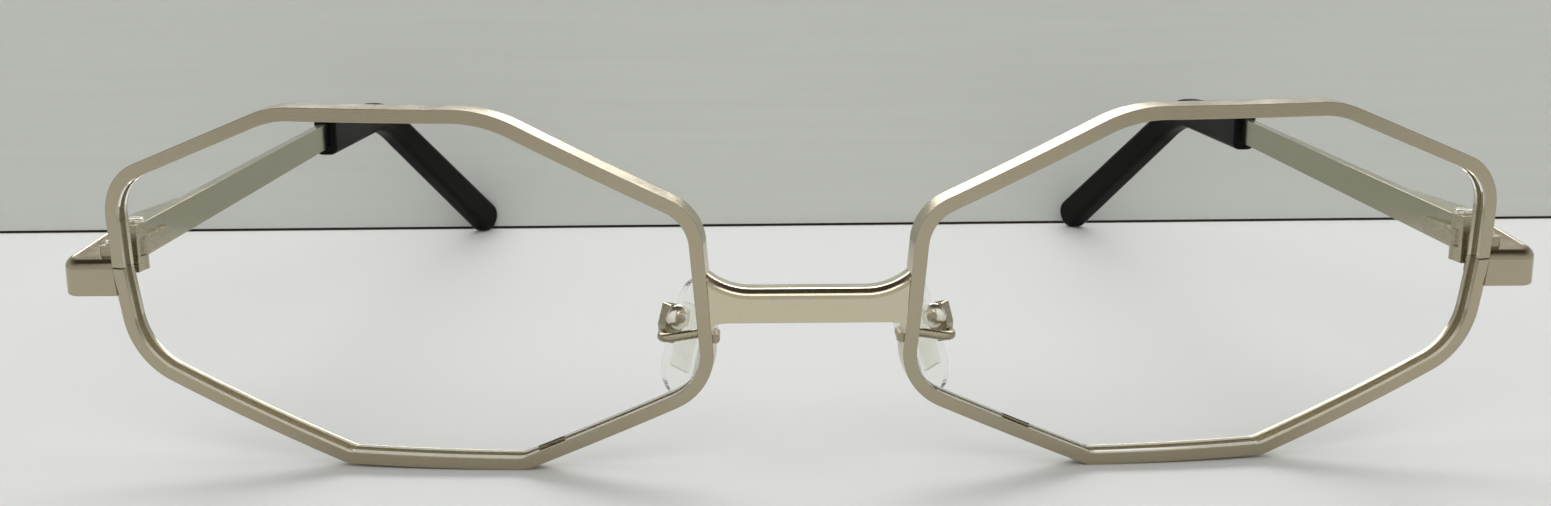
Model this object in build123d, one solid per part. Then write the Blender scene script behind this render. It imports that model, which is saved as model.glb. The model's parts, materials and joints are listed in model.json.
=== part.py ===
from build123d import *
from math import atan2, cos, degrees, hypot, radians, sin, sqrt
import os

# Octagonal metal eyeglasses, standing open on a table. Millimetres and degrees.
# X runs to the right as seen from the front, the front faces -Y, and Z is up.
# The right half is modelled, and the left half mirrors it.

# Lenses, measured at the tip of the bevel on their edge
lens_width = 56.6
lens_height = 33.3
lens_gap = 19.4
lens_thickness = 1.8
lens_curve_radius = 133.0
lens_play = 0.05
bevel_thickness = 0.9
# Corners as shares of width and height, and then all of them in order past the nose
upper_nose_share = (0.023, 0.719)
lower_nose_share = (0.0, 0.2308)
end_piece_share = (0.9982, 0.5356)
lens_corner_shares = [
    (1.0, 0.787),
    (0.6984, 0.9985),
    (0.3510, 1.0),
    upper_nose_share,
    lower_nose_share,
    (0.3122, 0.0),
    (0.6138, 0.006),
    (0.9824, 0.2752),
    end_piece_share,
]
# Radii of those corners as shares of the lens height
corner_radius_shares = [0.14, 0.26, 0.36, 0.135, 0.15, 0.06, 0.06, 0.19, 0.0]

# How the two lens planes stand
wrap_angle = 6.0
tilt_angle = 5.0

# Eyewires
rim_width = 1.25
rim_depth = 2.3
groove_depth = 0.4
rim_split = 0.12

# Bridge
bridge_height = 3.15
bridge_depth = 2.5
bridge_level_share = 0.465
bridge_flare_run = 4.8
bridge_flare_rise = 2.3
bridge_foot_run = 2.5
bridge_foot_drop = 1.1
bridge_top_radius = 0.95

# End pieces
end_piece_reach = 5.9
end_piece_length = 7.5
end_piece_height = 3.05
end_piece_front_thickness = 1.25
end_piece_side_thickness = 1.2
end_piece_taper = 2.9
end_piece_drop = 1.12
end_piece_corner_radius = 1.6
end_piece_top_radius = 1.0
end_piece_edge_radius = 0.3

# Closing blocks and the screws that close the rims
block_height = 1.85
block_play = 0.1
lock_screw_radius = 0.5
lock_head_radius = 0.8
lock_head_height = 0.35
head_round_share = 0.33

# Hinges
knuckle_radius = 1.05
knuckle_clearance = 0.3
knuckle_gap = 0.05
hinge_height = 4.7
middle_knuckle_height = 1.7
hinge_out = 0.15
hinge_drop = 0.2
leaf_thickness = 0.7
leaf_half_width = 0.95
temple_leaf_length = 5.5
hinge_pin_radius = 0.55
hinge_head_radius = 0.95
hinge_head_height = 0.45
pin_clearance = 0.05
slot_width = 0.28
slot_depth = 0.2

# Temples
temple_height = 3.45
temple_thickness = 1.1
temple_lift = 1.3
temple_stop_gap = 0.06
butt_length = 12.0
butt_shoulder = 3.5
butt_radius = 12.0
# The temple's length to its foot, and how much of it the strip and the ear rest take
temple_reach = 118.4
strip_share = 0.5236
ear_share = 0.2441
strip_rise = 3.6
ear_rise = 0.1
ear_bend_radius = 15.0
toe_in = 1.6
ear_turn_angle = 20.5
ear_turn_radius = 26.0
ear_turn_lead = 4.5
core_height = 1.8
core_tail = 7.0
shoulder_seat = 1.5

# Temple tips
tip_thickness = 3.1
tip_front_height = 5.8
tip_neck_height = 4.2
tip_end_height = 5.2
tip_round_share = 0.9
tip_edge_radius = 1.0
tip_front_radius = 0.35
tip_play = 0.08

# Nose pads, their boxes and arms
pad_level_share = 0.41
pad_out = 3.92
pad_back = 5.7
pad_down = 0.62
pad_splay = 30.0
pad_lean = 16.0
pad_width = 7.4
pad_top_width = 5.6
pad_length = 11.8
pad_hang = 1.9
pad_thickness = 2.2
pad_standoff = 1.6
pad_crown_radius = 20.0
pad_top_corner = 2.6
pad_bottom_corner = 3.4
pad_edge_radius = 0.3
insert_width = 3.6
insert_length = 6.4
insert_thickness = 0.5
insert_cover = 0.35
insert_play = 0.05
tab_thickness = 0.7
tab_radius = 0.7
tab_play = 0.05
tab_end_clearance = 0.1
box_cheek = 0.4
box_back = 0.3
box_front = 0.8
box_top = 1.1
box_waist = 1.1
box_bottom = 2.6
box_foot = 0.8
box_corner_radius = 0.25
pad_screw_radius = 0.35
pad_screw_tail = 0.15
pad_head_radius = 1.25
pad_head_height = 0.85
pad_head_round = 0.8
arm_radius = 0.45
arm_sink = 0.2
arm_lead = 0.6
arm_back = 2.8
arm_turn_radius = 1.2
arm_drop = 1.9
arm_fall = 0.8

# One overrun serves every cut
overrun = 1.0


def block(x_range, y_range, z_range):
    """A box between two corners."""
    ranges = (x_range, y_range, z_range)
    middle = [(low + high) / 2 for low, high in ranges]
    return Pos(*middle) * Box(*[high - low for low, high in ranges])


def post(place, z_low, z_high, radius):
    """An upright cylinder."""
    return Pos(*place, (z_low + z_high) / 2) * Cylinder(radius, z_high - z_low)


def cross_pin(y_low, y_high, radius):
    """A cylinder along Y through the origin."""
    return Pos(0, (y_low + y_high) / 2, 0) * Rot(90, 0, 0) * Cylinder(radius, y_high - y_low)


# Lenses and rims

lens_nose_x = lens_gap / 2
lens_middle_x = lens_nose_x + lens_width / 2
lens_middle_z = lens_height / 2
rim_outside = rim_width - groove_depth


def lens_point(share):
    """A point of the lens plane from its shares of the lens width and height."""
    return (lens_nose_x + share[0] * lens_width, share[1] * lens_height)


def lens_prism(growth):
    """The eight-sided lens outline, larger all round by growth, run straight back and forth."""
    points = [lens_point(share) for share in lens_corner_shares]
    radii = [share * lens_height for share in corner_radius_shares]
    outline = make_face(Plane.XZ * FilletPolyline(*points, radius=radii, close=True))
    if growth:
        outline = offset(outline, amount=growth)
    return extrude(outline, amount=lens_height / 2, both=True)


def curved_layer(thickness):
    """A layer of the sphere that lenses and rims are curved to."""
    inside = lens_curve_radius - thickness / 2
    layer = Sphere(inside + thickness) - Sphere(inside)
    return Pos(lens_middle_x, lens_curve_radius, lens_middle_z) * layer


def bevel(play):
    """The ridge round the lens, or with play the groove that it sits in."""
    ridge = lens_prism(play) & curved_layer(bevel_thickness + 2 * play)
    return ridge - lens_prism(-groove_depth - overrun)


def make_flat_rim():
    """The eyewire in its own lens plane: a bar bent round the lens, with a groove inside."""
    ring = lens_prism(rim_outside) - lens_prism(-groove_depth)
    return (ring & curved_layer(rim_depth)) - bevel(lens_play)


def make_flat_lens():
    """The lens in its own plane, with the bevel on its edge."""
    pane = lens_prism(-groove_depth - lens_play) & curved_layer(lens_thickness)
    return pane + bevel(0)


# The front is wrapped round the face and tilted, and its lowest point touches the table
flat_rim = make_flat_rim()
wrap = Pos(lens_nose_x, 0, 0) * Rot(0, 0, wrap_angle) * Pos(-lens_nose_x, 0, 0)
tilt = Rot(tilt_angle, 0, 0)
table_drop = -(tilt * wrap * flat_rim).bounding_box().min.Z
front_place = Pos(0, 0, table_drop) * tilt * wrap
rim_prism = front_place * lens_prism(rim_outside)
rim_slab = front_place * (lens_prism(rim_outside) & curved_layer(rim_depth))


def front_point(u, v):
    """A point of the curved lens plane, carried to where the front stands."""
    off_middle = hypot(u - lens_middle_x, v - lens_middle_z)
    depth = lens_curve_radius - sqrt(lens_curve_radius**2 - off_middle**2)
    return (front_place * Pos(u, depth, v)).position


def nose_wall(level_share):
    """The point of the rim's nose side that faces the other rim, at a share of lens height."""
    part_way = (level_share - lower_nose_share[1]) / (upper_nose_share[1] - lower_nose_share[1])
    width_share = lower_nose_share[0] + part_way * (upper_nose_share[0] - lower_nose_share[0])
    u, v = lens_point((width_share, level_share))
    return front_point(u - rim_outside, v)


side_u, side_v = lens_point(end_piece_share)
side_wall = front_point(side_u + rim_outside, side_v)


def make_rim():
    """The eyewire with its split behind the end piece."""
    split = block(
        (side_wall.X - rim_width - overrun, side_wall.X + overrun),
        (side_wall.Y - rim_depth, side_wall.Y + rim_depth),
        (side_wall.Z - rim_split / 2, side_wall.Z + rim_split / 2),
    )
    return front_place * flat_rim - split


# Bridge

def make_bridge():
    """A bar with a rounded top edge, flared where it meets the rims."""
    wall = nose_wall(bridge_level_share)
    reach = wall.X + overrun
    top = wall.Z + bridge_height / 2
    bottom = wall.Z - bridge_height / 2
    lines = []
    for side in (1, -1):
        top_bend = (side * (reach - bridge_flare_run), top)
        top_end = (side * reach, top + bridge_flare_rise)
        foot_bend = (side * (reach - bridge_foot_run), bottom)
        foot_end = (side * reach, bottom - bridge_foot_drop)
        lines.append(Line((0, top), top_bend))
        lines.append(TangentArc(top_bend, top_end, tangent=(side, 0)))
        lines.append(Line(top_end, foot_end))
        lines.append(TangentArc(foot_bend, foot_end, tangent=(side, 0)))
        lines.append(Line(foot_bend, (0, bottom)))
    outline = make_face(Plane.XZ * Curve(lines))
    middle = wall.Y - rim_depth / 2 + bridge_depth / 2
    bar = (Pos(0, middle, 0) * extrude(outline, amount=bridge_depth / 2, both=True)).clean()
    long_edges = bar.edges().filter_by(Axis.Y, reverse=True).filter_by(Axis.Z, reverse=True)
    front_top = [
        edge for edge in long_edges if edge.center().Z > wall.Z and edge.center().Y < middle
    ]
    bar = fillet(front_top, bridge_top_radius)
    return bar - rim_prism - mirror(rim_prism, about=Plane.YZ)


# End piece, closing blocks and their screw

end_front = side_wall.Y - rim_depth / 2
end_back = end_front + end_piece_length
end_outside = side_wall.X + end_piece_reach
butt_outside = end_outside - end_piece_taper
end_inside = butt_outside - end_piece_side_thickness
block_front = end_front + end_piece_front_thickness
temple_front = end_back + temple_stop_gap
temple_level = side_wall.Z + temple_lift
hinge_x = side_wall.X + hinge_out
hinge_y = temple_front - knuckle_clearance - knuckle_radius
hinge_level = temple_level - hinge_drop
leaf_back = hinge_y - knuckle_radius - knuckle_clearance
leaf_front = leaf_back - leaf_thickness


def side_band(path, heights, bend_radii, end_radius):
    """A band seen from the side that follows a path of (y, z) points, run across in X."""
    points = [Vector(*point) for point in path]
    runs = [(after - before).normalized() for before, after in zip(points, points[1:])]
    normals = [Vector(-run.Y, run.X) for run in runs]
    normals = [normals[0]] + normals + [normals[-1]]
    top = []
    low = []
    for point, height, before, after in zip(points, heights, normals, normals[1:]):
        step = (before + after) * (height / 2 / (1 + before.dot(after)))
        top.append(point + step)
        low.append(point - step)
    top_radii = [radius + height / 2 for radius, height in zip(bend_radii, heights[1:])]
    low_radii = [radius - height / 2 for radius, height in zip(bend_radii, heights[1:])]
    radii = [0, *top_radii, end_radius, end_radius, *reversed(low_radii), 0]
    outline = FilletPolyline(*top, *reversed(low), radius=radii, close=True)
    return extrude(make_face(Plane.YZ * outline), amount=end_outside + overrun, both=True)


def make_end_piece():
    """A bracket that wraps from the rim back to the hinge and rises to meet the temple."""
    inner_bend = (end_inside, block_front)
    plan = FilletPolyline(
        (side_wall.X - rim_width, end_front),
        (end_outside, end_front),
        (butt_outside, end_back),
        (end_inside, end_back),
        inner_bend,
        (side_wall.X - rim_width, block_front),
        radius=[0, end_piece_corner_radius, 0, 0, end_piece_edge_radius, 0],
        close=True,
    )
    front_level = side_wall.Z - end_piece_drop
    slope = (temple_level - front_level) / end_piece_length
    rise = slope * overrun
    path = [(end_front - overrun, front_level - rise), (end_back + overrun, temple_level + rise)]
    band = side_band(path, [end_piece_height, temple_height], [], 0)
    height = end_piece_height + end_piece_length
    column = extrude(make_face(plan), amount=height, both=True)
    bracket = Pos(0, 0, side_wall.Z) * column & band
    outer = [
        edge for edge in bracket.edges().filter_by(Axis.Z, reverse=True)
        if edge.center().Y < end_back - rim_split
        and (edge.center().X > end_inside + rim_split or edge.center().Y < end_front + rim_split)
    ]
    crown = [edge for edge in outer if edge.center().Z > (front_level + temple_level) / 2]
    bracket = fillet(crown, end_piece_top_radius)
    return bracket - rim_prism


lock_place = ((side_wall.X + end_inside) / 2, (block_front + leaf_front) / 2)


def make_closing_block(low, high, play):
    """A block soldered to one end of the rim, with a hole for the lock screw."""
    solid = block(
        (side_wall.X - rim_width, end_inside - play),
        (block_front + play, leaf_front - play),
        (low, high),
    )
    solid = fillet(solid.edges().filter_by(Axis.Z).sort_by(Axis.Y)[:2], end_piece_edge_radius)
    hole = post(lock_place, low - overrun, high + overrun, lock_screw_radius + pin_clearance)
    return solid - rim_prism - hole


block_top = side_wall.Z + rim_split / 2 + block_height
block_low = side_wall.Z - rim_split / 2 - block_height


def slotted_screw(place, low, seat, radius, head_radius, head_height):
    """A screw that stands upright, with its slotted head on a seat."""
    top = seat + head_height
    shank = post(place, low, seat, radius)
    head = fillet(
        post(place, seat, top, head_radius).edges().filter_by(GeomType.CIRCLE).sort_by(Axis.Z)[-1],
        head_height * head_round_share,
    )
    slot = block(
        (place[0] - head_radius, place[0] + head_radius),
        (place[1] - slot_width / 2, place[1] + slot_width / 2),
        (top - slot_depth, top + overrun),
    )
    return shank + head - slot


# Hinge

hinge_place = (hinge_x, hinge_y)
hinge_low = hinge_level - hinge_height / 2
hinge_high = hinge_level + hinge_height / 2
middle_low = hinge_level - middle_knuckle_height / 2
middle_high = hinge_level + middle_knuckle_height / 2
leaf_span = (hinge_x - leaf_half_width, hinge_x + leaf_half_width)
hinge_bore = post(
    hinge_place, hinge_low - overrun, hinge_high + overrun, hinge_pin_radius + pin_clearance
)


def make_front_leaf():
    """Two fixed knuckles on a plate across the back of the end piece."""
    leaf = block((leaf_span[0], end_inside), (leaf_front, leaf_back), (hinge_low, hinge_high))
    for level in ((hinge_low, middle_low - knuckle_gap), (middle_high + knuckle_gap, hinge_high)):
        leaf += block(leaf_span, (leaf_back, hinge_y), level)
        leaf += post(hinge_place, *level, knuckle_radius)
    return leaf - hinge_bore


def make_temple_leaf(temple):
    """The moving knuckle and the plate that holds it to the inner side of the temple."""
    level = (middle_low, middle_high)
    leaf = post(hinge_place, *level, knuckle_radius)
    leaf += block(leaf_span, (hinge_y, temple_front), level)
    plate_back = temple_front + temple_leaf_length
    leaf += block((hinge_x - leaf_thickness, hinge_x), (hinge_y, plate_back), level)
    return leaf - temple - hinge_bore


# Temple and its tip

strip_x = hinge_x + temple_thickness / 2
strip_start = Vector(temple_front, temple_level)
ear_front = strip_start + Vector(temple_reach * strip_share, strip_rise)
ear_bend = ear_front + Vector(temple_reach * ear_share, ear_rise)
tip_square = tip_end_height / 2 * (1 - tip_round_share)
ear_end = Vector(temple_front + temple_reach, tip_end_height / 2 + tip_square * (sqrt(2) - 1))
strip_run_way = (ear_front - strip_start).normalized()
drop_way = (ear_end - ear_bend).normalized()
turn_start = ear_bend.X - ear_turn_lead
tail_run = ear_end.X + tip_end_height + overrun - turn_start


def plan_band(thickness):
    """The temple's line seen from above: straight, then turned in behind the ear."""
    start = Vector(strip_x, temple_front)
    bend = Vector(strip_x - toe_in, turn_start)
    way = (bend - start).normalized()
    across = Vector(way.Y, -way.X) * (thickness / 2)
    start -= way * overrun
    outer = JernArc(bend + across, way, ear_turn_radius + thickness / 2, ear_turn_angle)
    inner = JernArc(bend - across, way, ear_turn_radius - thickness / 2, ear_turn_angle)
    outer_end = outer @ 1 + (outer % 1) * tail_run
    inner_end = inner @ 1 + (inner % 1) * tail_run
    lines = [
        Line(start - across, start + across),
        Line(start + across, bend + across),
        outer,
        Line(outer @ 1, outer_end),
        Line(outer_end, inner_end),
        Line(inner_end, inner @ 1),
        inner,
        Line(bend - across, start - across),
    ]
    return make_face(Curve(lines))


def raise_plan(face):
    """A plan outline run up and down past the whole temple."""
    return extrude(face, amount=ear_front.Y + overrun + tip_front_height, both=True)


def ear_insert(play):
    """The end of the strip and its core, or with play the socket in the tip."""
    shoulder = side_band(
        [ear_front - strip_run_way * overrun, ear_front + strip_run_way * (shoulder_seat + play)],
        [temple_height + 2 * play] * 2, [], 0,
    )
    core = side_band(
        [ear_front, ear_bend, ear_end - drop_way * (core_tail - play)],
        [core_height + 2 * play] * 3, [ear_bend_radius], 0,
    )
    return raise_plan(plan_band(temple_thickness + 2 * play)) & (shoulder + core)


def make_temple():
    """A flat strip, thick at the hinge, whose core runs on inside the tip."""
    butt_back = temple_front + butt_length
    butt = FilletPolyline(
        (strip_x, temple_front - overrun),
        (butt_outside, temple_front - overrun),
        (butt_outside, temple_front + butt_shoulder),
        (strip_x + temple_thickness / 2, butt_back),
        (strip_x, butt_back),
        radius=[0, 0, butt_radius, 0, 0],
        close=True,
    )
    plan = plan_band(temple_thickness) + make_face(butt)
    band = side_band(
        [strip_start - strip_run_way * butt_shoulder, ear_front], [temple_height] * 2, [], 0
    )
    strip = raise_plan(plan) & band
    x_range = (strip_x - butt_length, butt_outside + overrun)
    z_range = (temple_level - temple_height, temple_level + temple_height)
    strip -= block(x_range, (temple_front - butt_length, temple_front), z_range)
    return strip + ear_insert(0)


def make_tip():
    """A moulded ear end, square in front and rounded behind, with a socket for the core."""
    band = side_band(
        [ear_front, ear_bend, ear_end + drop_way * (tip_end_height / 2)],
        [tip_front_height, tip_neck_height, tip_end_height],
        [ear_bend_radius], tip_round_share * tip_end_height / 2,
    )
    body = raise_plan(plan_band(tip_thickness)) & band
    front_edges = body.faces().sort_by(Axis.Y)[0].edges()
    long_edges = []
    edge_middle = 1 / 2
    for edge in body.edges().filter_by(Axis.Z, reverse=True):
        way = edge % edge_middle
        if edge not in front_edges and abs(way.X) < hypot(way.Y, way.Z):
            long_edges.append(edge)
    body = fillet(long_edges, tip_edge_radius)
    body = fillet(body.faces().sort_by(Axis.Y)[0].edges(), tip_front_radius)
    return body - ear_insert(tip_play)


# Nose pad, its box and arm

pad_wall = nose_wall(pad_level_share)
pad_centre = pad_wall + Vector(pad_out, pad_back, -pad_down)
nose_way = Vector(-cos(radians(pad_splay)), sin(radians(pad_splay)), 0)
up_way = Vector(0, 0, 1)
pad_face_way = nose_way * cos(radians(pad_lean)) - up_way * sin(radians(pad_lean))
pad_long_way = nose_way * sin(radians(pad_lean)) + up_way * cos(radians(pad_lean))
pad_place = Plane(origin=pad_centre, x_dir=pad_face_way, z_dir=pad_long_way).location
box_rear = -(tab_radius + tab_end_clearance + box_back)
cheek_inside = tab_thickness / 2 + tab_play
cheek_outside = cheek_inside + box_cheek
pad_bore = cross_pin(
    -cheek_outside - overrun, cheek_outside + overrun, pad_screw_radius + pin_clearance
)


def make_flat_insert(play):
    """The stiff plate in the pad and its eye, or with play the hollow that they fill."""
    plate_front = pad_standoff + insert_cover
    plate = block(
        (plate_front - play, plate_front + insert_thickness + play),
        (-insert_width / 2 - play, insert_width / 2 + play),
        (-pad_hang - insert_length / 2 - play, -pad_hang + insert_length / 2 + play),
    )
    half = tab_thickness / 2 + play
    neck = block((0, plate_front), (-half, half), (-tab_radius - play, tab_radius + play))
    return plate + neck + cross_pin(-half, half, tab_radius + play)


def make_flat_pad():
    """A soft pad with a crowned face, narrower at the top."""
    top = pad_length / 2 - pad_hang
    bottom = top - pad_length
    outline = FilletPolyline(
        (-pad_top_width / 2, top),
        (pad_top_width / 2, top),
        (pad_width / 2, bottom),
        (-pad_width / 2, bottom),
        radius=[pad_top_corner, pad_top_corner, pad_bottom_corner, pad_bottom_corner],
        close=True,
    )
    slab = extrude(make_face(Plane.YZ * outline), amount=pad_thickness, dir=(1, 0, 0))
    crown = Pos(pad_thickness - pad_crown_radius, 0, -pad_hang) * Sphere(pad_crown_radius)
    pad = Pos(pad_standoff, 0, 0) * (slab & crown)
    return fillet(pad.edges(), pad_edge_radius) - make_flat_insert(insert_play)


def box_outline():
    """The pad box seen along its screw, tapered below."""
    middle = (box_rear + box_front) / 2
    return FilletPolyline(
        (box_rear, box_top),
        (box_front, box_top),
        (box_front, -box_waist),
        (middle + box_foot / 2, -box_bottom),
        (middle - box_foot / 2, -box_bottom),
        (box_rear, -box_waist),
        radius=box_corner_radius,
        close=True,
    )


flat_box_hull = extrude(make_face(Plane.XZ * box_outline()), amount=cheek_outside, both=True)


def make_flat_box():
    """A channel with two cheeks that the pad's eye sits between."""
    slot = block(
        (box_rear + box_back, box_front + overrun),
        (-cheek_inside, cheek_inside),
        (-box_bottom - overrun, box_top + overrun),
    )
    return flat_box_hull - slot - pad_bore


def make_flat_pad_screw():
    """The pad's pivot, with a domed head in front."""
    shank = cross_pin(-cheek_outside - pad_screw_tail, cheek_outside, pad_screw_radius)
    head = cross_pin(cheek_outside, cheek_outside + pad_head_height, pad_head_radius)
    rim_edge = head.edges().filter_by(GeomType.CIRCLE).sort_by(Axis.Y)[-1]
    return shank + fillet(rim_edge, pad_head_round)


def make_arm():
    """A bent wire soldered to the rim, which holds the pad box."""
    end = (pad_place * Pos(box_rear + box_back, 0, -arm_drop)).position
    wire_x = pad_wall.X - arm_radius + arm_sink
    bend_y = pad_wall.Y + arm_back
    fall_angle = degrees(atan2(arm_fall, end.X - wire_x))
    arm_run = hypot(end.X - wire_x, arm_fall)
    path = Pos(wire_x, 0, end.Z + arm_fall) * Rot(0, fall_angle, 0) * FilletPolyline(
        (0, pad_wall.Y - arm_lead),
        (0, bend_y),
        (arm_run, bend_y),
        (arm_run, end.Y),
        radius=arm_turn_radius,
    )
    section = Plane(origin=path @ 0, z_dir=path % 0) * Circle(arm_radius)
    return sweep(section, path=path) - pad_place * flat_box_hull - rim_slab


# Every piece of the right half, and the bridge that both halves share
temple = make_temple()
right_half = {
    "rim": make_rim(),
    "lens": front_place * make_flat_lens(),
    "end_piece": make_end_piece(),
    "closing_block_upper": make_closing_block(side_wall.Z + rim_split / 2, block_top, 0),
    "closing_block_lower": make_closing_block(block_low, side_wall.Z - rim_split / 2, block_play),
    "rim_lock_screw": slotted_screw(
        lock_place, block_low, block_top, lock_screw_radius, lock_head_radius, lock_head_height
    ),
    "front_hinge_leaf": make_front_leaf(),
    "temple_hinge_leaf": make_temple_leaf(temple),
    "hinge_screw": slotted_screw(
        hinge_place, hinge_low, hinge_high, hinge_pin_radius, hinge_head_radius, hinge_head_height
    ),
    "temple": temple,
    "temple_tip": make_tip(),
    "pad_arm": make_arm(),
    "pad_box": pad_place * make_flat_box(),
    "pad_screw": pad_place * make_flat_pad_screw(),
    "nose_pad": pad_place * make_flat_pad(),
    "pad_insert": pad_place * (make_flat_insert(0) - pad_bore),
}

bridge = make_bridge()
shapes = [bridge, *right_half.values()]
tops = [shape.bounding_box() for shape in shapes]
front_y = min(box.min.Y for box in tops)
back_y = max(box.max.Y for box in tops)
table_z = min(box.min.Z for box in tops)
to_origin = Pos(0, -(front_y + back_y) / 2, -table_z)

os.makedirs("parts", exist_ok=True)
export_step(to_origin * bridge, "parts/bridge.step")
for name, shape in right_half.items():
    right = to_origin * shape
    export_step(right, f"parts/{name}_right.step")
    export_step(mirror(right, about=Plane.YZ), f"parts/{name}_left.step")
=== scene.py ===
import json
from math import radians

import bpy
from mathutils import Matrix, Vector

# Octagonal eyeglasses on a pale table in front of a grey wall. Metres throughout.

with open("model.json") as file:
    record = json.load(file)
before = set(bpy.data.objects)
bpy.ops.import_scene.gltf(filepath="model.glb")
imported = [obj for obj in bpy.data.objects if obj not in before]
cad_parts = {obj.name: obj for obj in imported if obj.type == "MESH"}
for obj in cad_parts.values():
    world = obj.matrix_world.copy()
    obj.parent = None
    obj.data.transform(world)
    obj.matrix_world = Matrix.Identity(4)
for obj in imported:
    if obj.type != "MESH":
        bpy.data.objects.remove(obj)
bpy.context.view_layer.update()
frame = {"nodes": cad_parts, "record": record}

MM = 0.001


# Node helpers

NODE_SPACING = 190
# The colour sockets of a Mix node, whose sockets share their names
MIX_FIRST = 6
MIX_SECOND = 7
MIX_RESULT = 2


class Nodes:
    """A node tree that is written from left to right."""

    def __init__(self, tree):
        self.tree = tree
        self.column = 0

    def add(self, kind, **settings):
        """A new node with its settings, placed to the right of the last one."""
        node = self.tree.nodes.new(kind)
        node.location = (self.column, 0)
        self.column += NODE_SPACING
        for name, value in settings.items():
            setattr(node, name, value)
        return node

    def join(self, source, target):
        self.tree.links.new(source, target)

    def place(self):
        """The piece's own coordinates."""
        return self.add("ShaderNodeTexCoord").outputs["Object"]

    def noise(self, place, scale, detail=2.0, roughness=0.5, distortion=0.0):
        """A noise texture's value, at a scale that is a number or a socket."""
        node = self.add("ShaderNodeTexNoise")
        self.join(place, node.inputs["Vector"])
        self.set(node.inputs["Scale"], scale)
        node.inputs["Detail"].default_value = detail
        node.inputs["Roughness"].default_value = roughness
        node.inputs["Distortion"].default_value = distortion
        return node.outputs["Fac"]

    def set(self, socket, value):
        """A number or a colour written into a socket, or another socket joined to it."""
        if isinstance(value, (int, float)):
            socket.default_value = value
        elif isinstance(value, tuple):
            socket.default_value = (*value, 1.0)
        else:
            self.join(value, socket)

    def stretch(self, place, scale):
        """Coordinates squeezed or stretched along each axis."""
        node = self.add("ShaderNodeMapping")
        self.join(place, node.inputs["Vector"])
        node.inputs["Scale"].default_value = scale
        return node.outputs["Vector"]

    def ramp(self, value, low, high, low_to=0.0, high_to=1.0):
        """A value range turned into another, with its ends held."""
        node = self.add("ShaderNodeMapRange")
        self.join(value, node.inputs["Value"])
        node.inputs["From Min"].default_value = low
        node.inputs["From Max"].default_value = high
        node.inputs["To Min"].default_value = low_to
        node.inputs["To Max"].default_value = high_to
        return node.outputs["Result"]

    def maths(self, operation, first, second):
        """Two values, or a value and a number, put together."""
        node = self.add("ShaderNodeMath", operation=operation)
        self.set(node.inputs[0], first)
        self.set(node.inputs[1], second)
        return node.outputs["Value"]

    def blend(self, amount, first, second):
        """A mix of two colours, each a colour or a socket."""
        node = self.add("ShaderNodeMix", data_type="RGBA")
        self.join(amount, node.inputs["Factor"])
        self.set(node.inputs[MIX_FIRST], first)
        self.set(node.inputs[MIX_SECOND], second)
        return node.outputs[MIX_RESULT]

    def show_where(self, amount, shader, other, output):
        """One shader where the amount is 0 and another where it is 1."""
        mix = self.add("ShaderNodeMixShader")
        self.join(amount, mix.inputs["Fac"])
        self.join(shader.outputs["BSDF"], mix.inputs[1])
        self.join(other.outputs["BSDF"], mix.inputs[2])
        self.join(mix.outputs["Shader"], output.inputs["Surface"])


def make_group(name, inputs, outputs):
    """An empty shader node group with named sockets."""
    group = bpy.data.node_groups.new(name, "ShaderNodeTree")
    for label, value in inputs.items():
        socket = group.interface.new_socket(label, in_out="INPUT", socket_type="NodeSocketFloat")
        socket.default_value = value
    for label in outputs:
        group.interface.new_socket(label, in_out="OUTPUT", socket_type="NodeSocketFloat")
    nodes = Nodes(group)
    given = nodes.add("NodeGroupInput").outputs
    out = nodes.add("NodeGroupOutput").inputs
    return nodes, given, out, nodes.place()


# Effects that several finishes share

def polish_marks():
    """Fine wiping scratches: how rough they make the metal, and a height for the bump."""
    nodes, given, out, place = make_group(
        "Polish marks", {"Base Roughness": 0.15, "Spread": 0.08}, ("Roughness", "Height")
    )
    long_stretch = (400.0, 400.0, 6000.0)
    short_stretch = (5000.0, 5000.0, 500.0)
    scratch_share = 0.45
    across = nodes.noise(nodes.stretch(place, long_stretch), scale=1.0, detail=3.0, roughness=0.6)
    along = nodes.noise(nodes.stretch(place, short_stretch), scale=1.0, detail=2.0, roughness=0.6)
    haze = nodes.noise(place, scale=320.0, detail=3.0, roughness=0.55)
    lines = nodes.ramp(nodes.maths("MULTIPLY", across, along), low=0.2, high=0.42)
    scratched = nodes.maths("MULTIPLY", lines, scratch_share)
    hazed = nodes.ramp(haze, low=0.35, high=0.75, high_to=0.9)
    wiped = nodes.maths("ADD", scratched, hazed)
    spread = nodes.maths("MULTIPLY", wiped, given["Spread"])
    nodes.join(nodes.maths("ADD", spread, given["Base Roughness"]), out["Roughness"])
    nodes.join(lines, out["Height"])
    return nodes.tree


def plating_tone():
    """Slow drifts in the colour of thin plating, and small dull spots where it has worn."""
    nodes, given, out, place = make_group(
        "Plating tone", {"Drift Size": 160.0, "Spot Share": 0.5}, ("Drift", "Spots")
    )
    drift = nodes.noise(place, given["Drift Size"], detail=3.0)
    nodes.join(nodes.ramp(drift, low=0.32, high=0.68), out["Drift"])
    grain = nodes.noise(place, scale=1500.0, detail=4.0, roughness=0.6)
    spots = nodes.ramp(grain, low=0.62, high=0.72)
    nodes.join(nodes.maths("MULTIPLY", spots, given["Spot Share"]), out["Spots"])
    return nodes.tree


def handling_haze():
    """Soft smears left by fingers."""
    nodes, given, out, place = make_group("Handling haze", {"Size": 90.0}, ("Haze",))
    smear_stretch = (1.0, 0.6, 1.6)
    smear = nodes.noise(nodes.stretch(place, smear_stretch), given["Size"], detail=4.0, distortion=0.8)
    nodes.join(nodes.ramp(smear, low=0.4, high=0.7), out["Haze"])
    return nodes.tree


POLISH = polish_marks()
PLATING = plating_tone()
HAZE = handling_haze()


# Finishes

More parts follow.
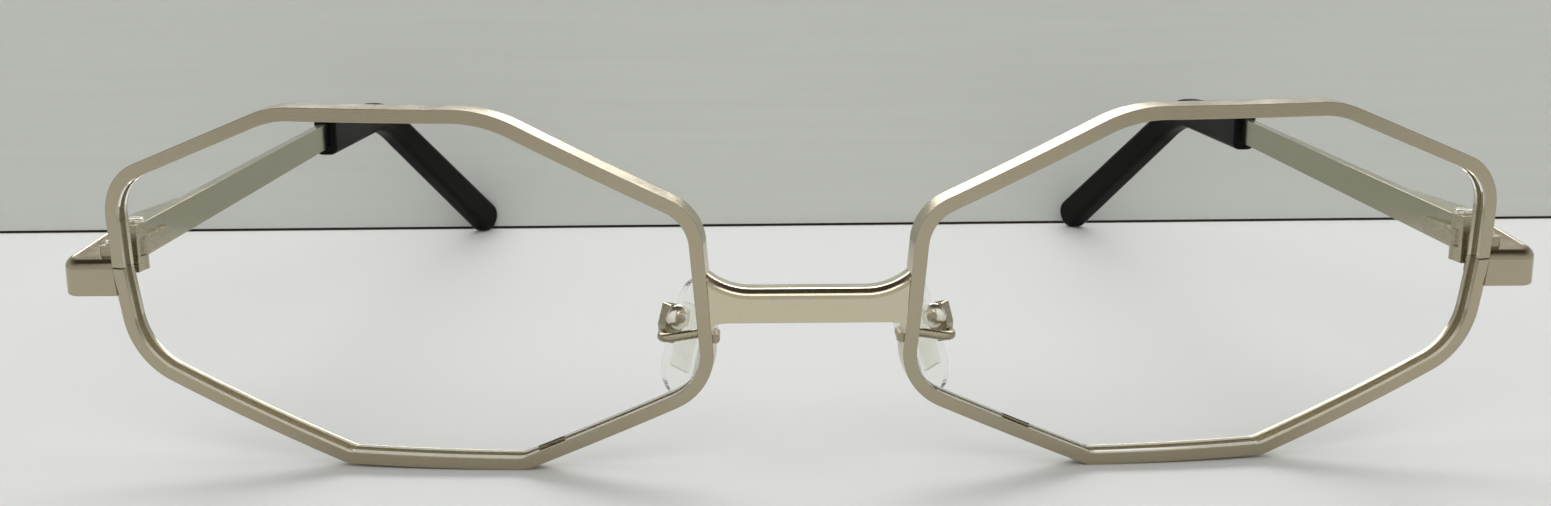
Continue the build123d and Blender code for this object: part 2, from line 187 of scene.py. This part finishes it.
SCRATCH_DEPTH = 0.002 * MM
SCRATCH_STRENGTH = 0.5
GRAIN_DEPTH = 0.01 * MM
GRAIN_STRENGTH = 0.35
SCREW_EDGE = 0.05 * MM


def new_material(name):
    """An empty material with a Principled shader."""
    material = bpy.data.materials.new(name)
    material.use_nodes = True
    material.node_tree.nodes.clear()
    nodes = Nodes(material.node_tree)
    shader = nodes.add("ShaderNodeBsdfPrincipled")
    output = nodes.add("ShaderNodeOutputMaterial")
    nodes.join(shader.outputs["BSDF"], output.inputs["Surface"])
    return material, nodes, shader, output


def use_group(nodes, group, **values):
    """A group placed in a material, with this material's values."""
    node = nodes.add("ShaderNodeGroup", node_tree=group)
    for name, value in values.items():
        node.inputs[name.replace("_", " ")].default_value = value
    return node.outputs


def bump(nodes, shader, height, distance, strength, edge_radius=0.0):
    """A bump on the shader, over edges rounded a little where a radius is given."""
    node = nodes.add("ShaderNodeBump")
    node.inputs["Strength"].default_value = strength
    node.inputs["Distance"].default_value = distance
    nodes.join(height, node.inputs["Height"])
    if edge_radius:
        edge = nodes.add("ShaderNodeBevel", samples=4)
        edge.inputs["Radius"].default_value = edge_radius
        nodes.join(edge.outputs["Normal"], node.inputs["Normal"])
    nodes.join(node.outputs["Normal"], shader.inputs["Normal"])


def plated_metal(name, tone, warm_tone, worn_tone, roughness, spread, edge_radius):
    """Pale gold plating over steel, with colour drifts, worn specks and wiping marks."""
    material, nodes, shader, output = new_material(name)
    tones = use_group(nodes, PLATING)
    marks = use_group(nodes, POLISH, Base_Roughness=roughness, Spread=spread)
    drifted = nodes.blend(tones["Drift"], tone, warm_tone)
    nodes.join(nodes.blend(tones["Spots"], drifted, worn_tone), shader.inputs["Base Color"])
    nodes.join(marks["Roughness"], shader.inputs["Roughness"])
    shader.inputs["Metallic"].default_value = 1.0
    bump(nodes, shader, marks["Height"], SCRATCH_DEPTH, SCRATCH_STRENGTH, edge_radius)
    return material


def screw_steel(name, tone, dull_tone):
    """Bright turned steel."""
    material, nodes, shader, output = new_material(name)
    marks = use_group(nodes, POLISH, Base_Roughness=0.2, Spread=0.1)
    haze = use_group(nodes, HAZE, Size=400.0)
    nodes.join(nodes.blend(haze["Haze"], tone, dull_tone), shader.inputs["Base Color"])
    nodes.join(marks["Roughness"], shader.inputs["Roughness"])
    shader.inputs["Metallic"].default_value = 1.0
    bump(nodes, shader, marks["Height"], SCRATCH_DEPTH, SCRATCH_STRENGTH, SCREW_EDGE)
    return material


def tip_plastic(name, tone, rubbed_tone):
    """Satin black moulded plastic with a fine grain and pale rubbing marks."""
    material, nodes, shader, output = new_material(name)
    haze = use_group(nodes, HAZE, Size=130.0)
    grain = nodes.noise(nodes.place(), scale=9000.0)
    nodes.join(nodes.blend(haze["Haze"], tone, rubbed_tone), shader.inputs["Base Color"])
    roughness = nodes.ramp(haze["Haze"], low=0.0, high=1.0, low_to=0.36, high_to=0.46)
    nodes.join(roughness, shader.inputs["Roughness"])
    shader.inputs["IOR"].default_value = 1.49
    shader.inputs["Specular IOR Level"].default_value = 0.06
    bump(nodes, shader, grain, GRAIN_DEPTH, GRAIN_STRENGTH)
    return material


def let_lamps_through(nodes, shader, output, share):
    """Lamps shine through clear pieces, so that their shadows stay pale."""
    clear = nodes.add("ShaderNodeBsdfTransparent")
    clear.inputs["Color"].default_value = (share, share, share, 1.0)
    rays = nodes.add("ShaderNodeLightPath")
    nodes.show_where(rays.outputs["Is Shadow Ray"], shader, clear, output)


def lens_glass(name, tone):
    """A clear coated lens."""
    material, nodes, shader, output = new_material(name)
    haze = use_group(nodes, HAZE, Size=45.0)
    roughness = nodes.ramp(haze["Haze"], low=0.0, high=1.0, low_to=0.0, high_to=0.02)
    nodes.join(roughness, shader.inputs["Roughness"])
    shader.inputs["Base Color"].default_value = (*tone, 1.0)
    shader.inputs["Transmission Weight"].default_value = 1.0
    shader.inputs["IOR"].default_value = 1.08
    let_lamps_through(nodes, shader, output, share=0.97)
    return material


def clear_plastic(name, tone, cloudy_tone, haze_size, smoothest, roughest, ior):
    """Clear plastic that has turned a little cloudy."""
    material, nodes, shader, output = new_material(name)
    haze = use_group(nodes, HAZE, Size=haze_size)
    nodes.join(nodes.blend(haze["Haze"], tone, cloudy_tone), shader.inputs["Base Color"])
    roughness = nodes.ramp(haze["Haze"], low=0.0, high=1.0, low_to=smoothest, high_to=roughest)
    nodes.join(roughness, shader.inputs["Roughness"])
    shader.inputs["Transmission Weight"].default_value = 1.0
    shader.inputs["IOR"].default_value = ior
    let_lamps_through(nodes, shader, output, share=0.85)
    return material


FINISHES = {
    # The rims' plating: its tone is painted a little darker, painted shade for the shaded table that
    # the rims mirror
    "frame_metal": plated_metal(
        "Frame plating painted darker",
        tone=(0.49, 0.445, 0.325),
        warm_tone=(0.50, 0.44, 0.31),
        worn_tone=(0.41, 0.38, 0.30),
        roughness=0.14,
        spread=0.10,
        edge_radius=0.12 * MM,
    ),
    # A lighter copy of the rims' plating: painted light for how brightly the bridge's face shines
    "bridge_metal_painted_lighter": plated_metal(
        "Bridge plating painted lighter",
        tone=(0.72, 0.66, 0.49),
        warm_tone=(0.72, 0.65, 0.475),
        worn_tone=(0.56, 0.52, 0.41),
        roughness=0.12,
        spread=0.08,
        edge_radius=0.12 * MM,
    ),
    # A darker copy of the rims' plating: painted shade for the wall that the temples mirror
    "temple_metal_painted_darker": plated_metal(
        "Temple plating painted darker",
        tone=(0.42, 0.405, 0.30),
        warm_tone=(0.42, 0.395, 0.285),
        worn_tone=(0.36, 0.345, 0.27),
        roughness=0.12,
        spread=0.08,
        edge_radius=0.10 * MM,
    ),
    "hinge_metal": plated_metal(
        "Hinge plating",
        tone=(0.42, 0.38, 0.275),
        warm_tone=(0.41, 0.365, 0.255),
        worn_tone=(0.32, 0.295, 0.225),
        roughness=0.22,
        spread=0.10,
        edge_radius=0.06 * MM,
    ),
    "screw_steel": screw_steel("Screw steel", tone=(0.91, 0.87, 0.79), dull_tone=(0.86, 0.82, 0.73)),
    "lens": lens_glass("Lens", tone=(0.985, 0.99, 0.985)),
    "tip_plastic": tip_plastic(
        "Tip plastic", tone=(0.003, 0.0035, 0.0025), rubbed_tone=(0.005, 0.0055, 0.0045)
    ),
    "pad_silicone": clear_plastic(
        "Pad silicone",
        tone=(0.97, 0.97, 0.95),
        cloudy_tone=(0.94, 0.94, 0.91),
        haze_size=260.0,
        smoothest=0.08,
        roughest=0.16,
        ior=1.2,
    ),
    "pad_core": clear_plastic(
        "Pad core",
        tone=(0.97, 0.97, 0.94),
        cloudy_tone=(0.94, 0.94, 0.90),
        haze_size=500.0,
        smoothest=0.1,
        roughest=0.2,
        ior=1.1,
    ),
}

# The bridge gets a copy of the rims' plating painted lighter and the temples one painted darker, as
# painted light and painted shade, with slightly different roughness
PAINTED_LIGHT_FINISHES = {"bridge": "bridge_metal_painted_lighter", "temple_right": "temple_metal_painted_darker", "temple_left": "temple_metal_painted_darker"}


def dress(node, finish):
    """Gives a carried-over piece its finish."""
    piece = frame["nodes"][node]
    piece.data.materials.clear()
    piece.data.materials.append(FINISHES[finish])


for entry in frame["record"]["subparts"]:
    dress(entry["node"], PAINTED_LIGHT_FINISHES.get(entry["node"], entry["material_slot"]))


# Table and wall

TABLE_SIZE = 1.6
TABLE_COLOUR = (0.645, 0.645, 0.635)
TABLE_DIM_SHARE = 0.985
WALL_LEFT = Vector((-143.4 * MM, 65.8 * MM, 0.0))
WALL_RIGHT = Vector((147.2 * MM, 70.8 * MM, 0.0))
WALL_HEIGHT = 73.0 * MM
WALL_REACH = 3.0
WALL_COLOUR = (0.65, 0.66, 0.625)
WALL_DIM_SHARE = 0.975
RIB_STRETCH = (15.0, 15.0, 500.0)
SEAM_HEIGHT = 0.45 * MM
SEAM_GAP = 0.2 * MM
# The gap between the wall and the table, its shade painted as a dark colour
SEAM_SHADE_COLOUR = (0.02, 0.012, 0.01)


def dimmed(colour, share):
    """A share of a colour's brightness."""
    return tuple(share * part for part in colour)


def stage_sheet(name, corners, material):
    """A flat piece of the stage between four corners."""
    mesh = bpy.data.meshes.new(name)
    mesh.from_pydata([tuple(corner) for corner in corners], [], [(0, 1, 2, 3)])
    sheet = bpy.data.objects.new(name, mesh)
    bpy.context.scene.collection.objects.link(sheet)
    mesh.materials.append(material)
    return sheet


def table_finish():
    """Smooth pale laminate."""
    material, nodes, shader, output = new_material("Table")
    cloud = nodes.ramp(nodes.noise(nodes.place(), scale=6.0), low=0.3, high=0.7)
    tone = nodes.blend(cloud, TABLE_COLOUR, dimmed(TABLE_COLOUR, TABLE_DIM_SHARE))
    nodes.join(tone, shader.inputs["Base Color"])
    shader.inputs["Roughness"].default_value = 0.5
    shader.inputs["Specular IOR Level"].default_value = 0.3
    return material


def see_through_behind(nodes, shader, output):
    """A wall that shows only from the front, so that it hides nothing in a view from behind."""
    clear = nodes.add("ShaderNodeBsdfTransparent")
    side = nodes.add("ShaderNodeNewGeometry")
    nodes.show_where(side.outputs["Backfacing"], shader, clear, output)


def wall_finish():
    """Grey board with faint level ribs."""
    material, nodes, shader, output = new_material("Wall")
    ribs = nodes.noise(nodes.stretch(nodes.place(), RIB_STRETCH), scale=1.0)
    ribbed = nodes.ramp(ribs, low=0.35, high=0.65)
    tone = nodes.blend(ribbed, WALL_COLOUR, dimmed(WALL_COLOUR, WALL_DIM_SHARE))
    nodes.join(tone, shader.inputs["Base Color"])
    shader.inputs["Roughness"].default_value = 0.7
    shader.inputs["Specular IOR Level"].default_value = 0.2
    see_through_behind(nodes, shader, output)
    return material


def seam_shade_finish():
    """Painted shade: the dark line of the gap where the wall meets the table."""
    material, nodes, shader, output = new_material("Seam")
    shader.inputs["Base Color"].default_value = (*SEAM_SHADE_COLOUR, 1.0)
    shader.inputs["Roughness"].default_value = 0.9
    see_through_behind(nodes, shader, output)
    return material


def upright_sheet(name, left, right, height, material):
    """A sheet that stands on the table between two points."""
    up = Vector((0, 0, height))
    return stage_sheet(name, [left, right, right + up, left + up], material)


def make_stage():
    """A table top, a low wall behind the glasses and a dark line of painted shade between them."""
    half = TABLE_SIZE / 2
    corners = [(-half, -half, 0), (half, -half, 0), (half, half, 0), (-half, half, 0)]
    stage_sheet("table", corners, table_finish())
    way = (WALL_RIGHT - WALL_LEFT).normalized()
    middle = (WALL_LEFT + WALL_RIGHT) / 2
    left = middle - way * (WALL_REACH / 2)
    right = middle + way * (WALL_REACH / 2)
    wall = upright_sheet("wall", left, right, WALL_HEIGHT, wall_finish())
    # The lamp behind the wall still lights the table
    wall.visible_shadow = False
    # A thin dark sheet where the wall meets the table: painted shade of the gap between them
    nearer = Vector((way.y, -way.x, 0)) * SEAM_GAP
    upright_sheet("seam", left + nearer, right + nearer, SEAM_HEIGHT, seam_shade_finish())


make_stage()


# Camera

CAMERA_PLACE = Vector((-5.3, -196.6, 47.1)) * MM
CAMERA_YAW = radians(-0.98)
CAMERA_PITCH = radians(90 - 10.87)
CAMERA_ROLL = radians(-0.21)
PHOTO_WIDTH = 1551
FOCAL_PIXELS = 1438
AXIS_ABOVE_MIDDLE = 7.6
SENSOR = 36.0
NEAREST_SEEN = 5 * MM


def make_camera():
    """The photograph's camera."""
    lens = bpy.data.cameras.new("camera")
    lens.sensor_fit = "HORIZONTAL"
    lens.sensor_width = SENSOR
    lens.lens = SENSOR * FOCAL_PIXELS / PHOTO_WIDTH
    lens.shift_y = -AXIS_ABOVE_MIDDLE / PHOTO_WIDTH
    lens.clip_start = NEAREST_SEEN
    camera = bpy.data.objects.new("camera", lens)
    turn = Matrix.Rotation(CAMERA_YAW, 4, "Z") @ Matrix.Rotation(CAMERA_PITCH, 4, "X")
    camera.matrix_world = Matrix.Translation(CAMERA_PLACE) @ turn @ Matrix.Rotation(CAMERA_ROLL, 4, "Z")
    bpy.context.scene.collection.objects.link(camera)
    bpy.context.scene.camera = camera


make_camera()


# Light

def softbox(name, place, target, size, power, mirrored=True):
    """A large soft lamp that the camera doesn't see, and metal only where it is mirrored."""
    lamp = bpy.data.lights.new(name, "AREA")
    lamp.shape = "RECTANGLE"
    lamp.size, lamp.size_y = size
    lamp.energy = power
    box = bpy.data.objects.new(name, lamp)
    box.location = place
    box.rotation_euler = (Vector(target) - Vector(place)).to_track_quat("-Z", "Y").to_euler()
    box.visible_camera = False
    box.visible_glossy = mirrored
    # The clear pieces let lamps through already
    box.visible_transmission = False
    bpy.context.scene.collection.objects.link(box)


def make_lights():
    """Soft lamps overhead and in front, and a bright one behind for the rims' glints."""
    for name, across in (("lamp_left", -0.75), ("lamp_right", 0.75)):
        softbox(
            name,
            place=(across, 0.0, 0.8),
            target=(0, 0.02, 0),
            size=(0.5, 0.5),
            power=0.9,
            mirrored=False,
        )
    softbox("lamp_front", place=(0.0, -0.75, 0.75), target=(0, 0.0, 0), size=(0.9, 0.4), power=1.8)
    softbox("lamp_behind", place=(0.0, 0.72, 0.54), target=(0, -0.05, 0.0), size=(1.4, 0.3), power=6.0)


make_lights()

ROOM_LIGHT = (0.60, 0.605, 0.60)
ROOM_SEEN = (0.80, 0.80, 0.79)
ROOM_MIRRORED_LOW = (0.50, 0.49, 0.47)
ROOM_MIRRORED_HIGH = (0.05, 0.04, 0.032)


def make_world():
    """An even pale room that darkens overhead in the metal's reflections."""
    world = bpy.data.worlds.new("room")
    world.use_nodes = True
    bpy.context.scene.world = world
    world.node_tree.nodes.clear()
    nodes = Nodes(world.node_tree)
    split = nodes.add("ShaderNodeSeparateXYZ")
    nodes.join(nodes.add("ShaderNodeTexCoord").outputs["Generated"], split.inputs["Vector"])
    height = nodes.ramp(split.outputs["Z"], low=0.35, high=0.85)
    mirrored = nodes.blend(height, ROOM_MIRRORED_LOW, ROOM_MIRRORED_HIGH)
    rays = nodes.add("ShaderNodeLightPath").outputs
    colour = nodes.blend(rays["Is Glossy Ray"], ROOM_LIGHT, mirrored)
    # The eye sees the same room past the lenses and through them
    straight = nodes.maths("LESS_THAN", rays["Diffuse Depth"], 0.5)
    through = nodes.maths("MULTIPLY", rays["Is Transmission Ray"], straight)
    seen = nodes.maths("MAXIMUM", rays["Is Camera Ray"], through)
    background = nodes.add("ShaderNodeBackground")
    nodes.join(nodes.blend(seen, colour, ROOM_SEEN), background.inputs["Color"])
    output = nodes.add("ShaderNodeOutputWorld")
    nodes.join(background.outputs["Background"], output.inputs["Surface"])


make_world()
bpy.context.scene.view_settings.view_transform = "Standard"
